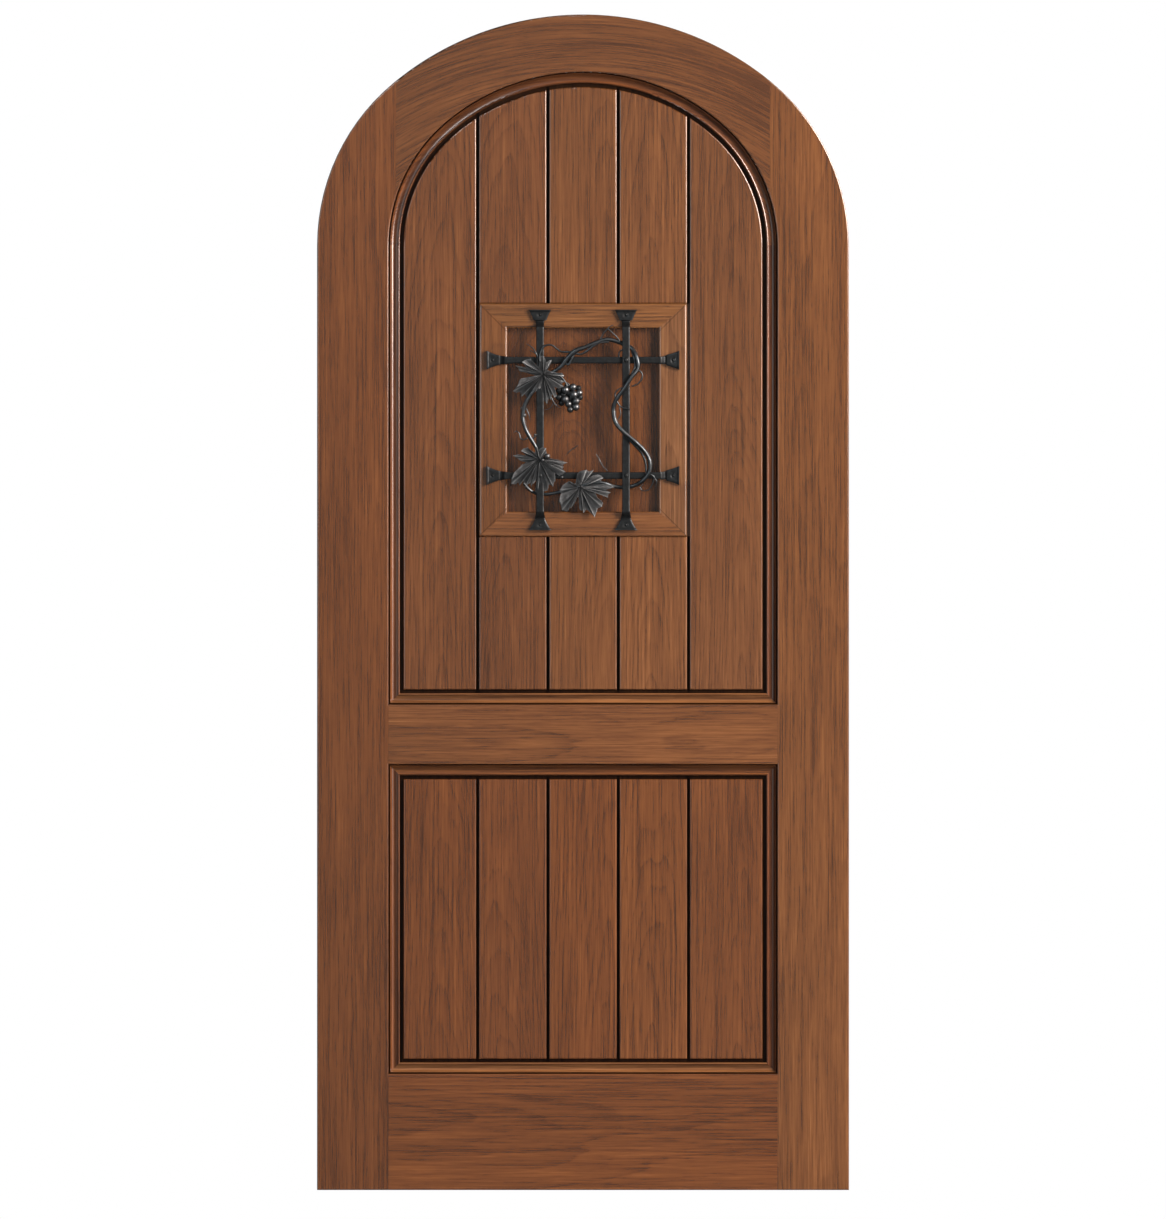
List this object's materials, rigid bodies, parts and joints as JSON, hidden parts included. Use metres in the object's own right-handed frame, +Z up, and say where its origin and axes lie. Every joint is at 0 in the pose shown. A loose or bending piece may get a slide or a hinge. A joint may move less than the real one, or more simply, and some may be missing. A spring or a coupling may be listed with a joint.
{
  "type": "speakeasy door leaf",
  "caption": "Arched plank door leaf of stained hardwood with a hinged speakeasy shutter behind a wrought iron grille with a grapevine.",
  "frame": {"origin": "on the hinge edge of the leaf, at mid thickness, at its bottom corner", "axes": "+X from the hinge edge to the lock edge, -Y towards the front face with the grille, +Z up"},
  "size_m": [0.908, 0.0838, 2.0069],
  "materials": {
    "wood": "stained, satin varnish",
    "iron": "forged, dark wax"
  },
  "bodies": {
    "door_leaf": {"arched_top_rail": "wood", "bottom_rail": "wood", "grape_cluster": "iron", "grille_column_left": "iron", "grille_column_right": "iron", "grille_fasteners": "iron", "grille_row_bottom": "iron", "grille_row_top": "iron", "hinge_stile": "wood", "lock_stile": "wood", "lower_hinge_fixed_leaf": "iron", "lower_moulding_bottom": "wood", "lower_moulding_left": "wood", "lower_moulding_right": "wood", "lower_moulding_top": "wood", "lower_plank_1": "wood", "lower_plank_2": "wood", "lower_plank_3": "wood", "lower_plank_4": "wood", "lower_plank_5": "wood", "mid_rail": "wood", "opening_frame_bottom": "wood", "opening_frame_left": "wood", "opening_frame_right": "wood", "opening_frame_top": "wood", "upper_hinge_fixed_leaf": "iron", "upper_moulding_arch": "wood", "upper_moulding_bottom": "wood", "upper_moulding_left": "wood", "upper_moulding_right": "wood", "upper_plank_1": "wood", "upper_plank_2": "wood", "upper_plank_3": "wood", "upper_plank_4": "wood", "upper_plank_5": "wood", "vine_leaf_lower_left": "iron", "vine_leaf_lower_right": "iron", "vine_leaf_upper": "iron", "vine_stem": "iron"},
    "shutter": {"shutter_panel": "wood", "shutter_knob": "iron", "upper_hinge_moving_leaf": "iron", "lower_hinge_moving_leaf": "iron"}
  },
  "joints": [
    {"name": "shutter_hinge", "type": "hinge", "parent": "door_leaf", "child": "shutter", "pos_m": [0.3154, 0.022, 1.3148], "axis": [0, 0, 1], "range_deg": [0, 160]}
  ]
}
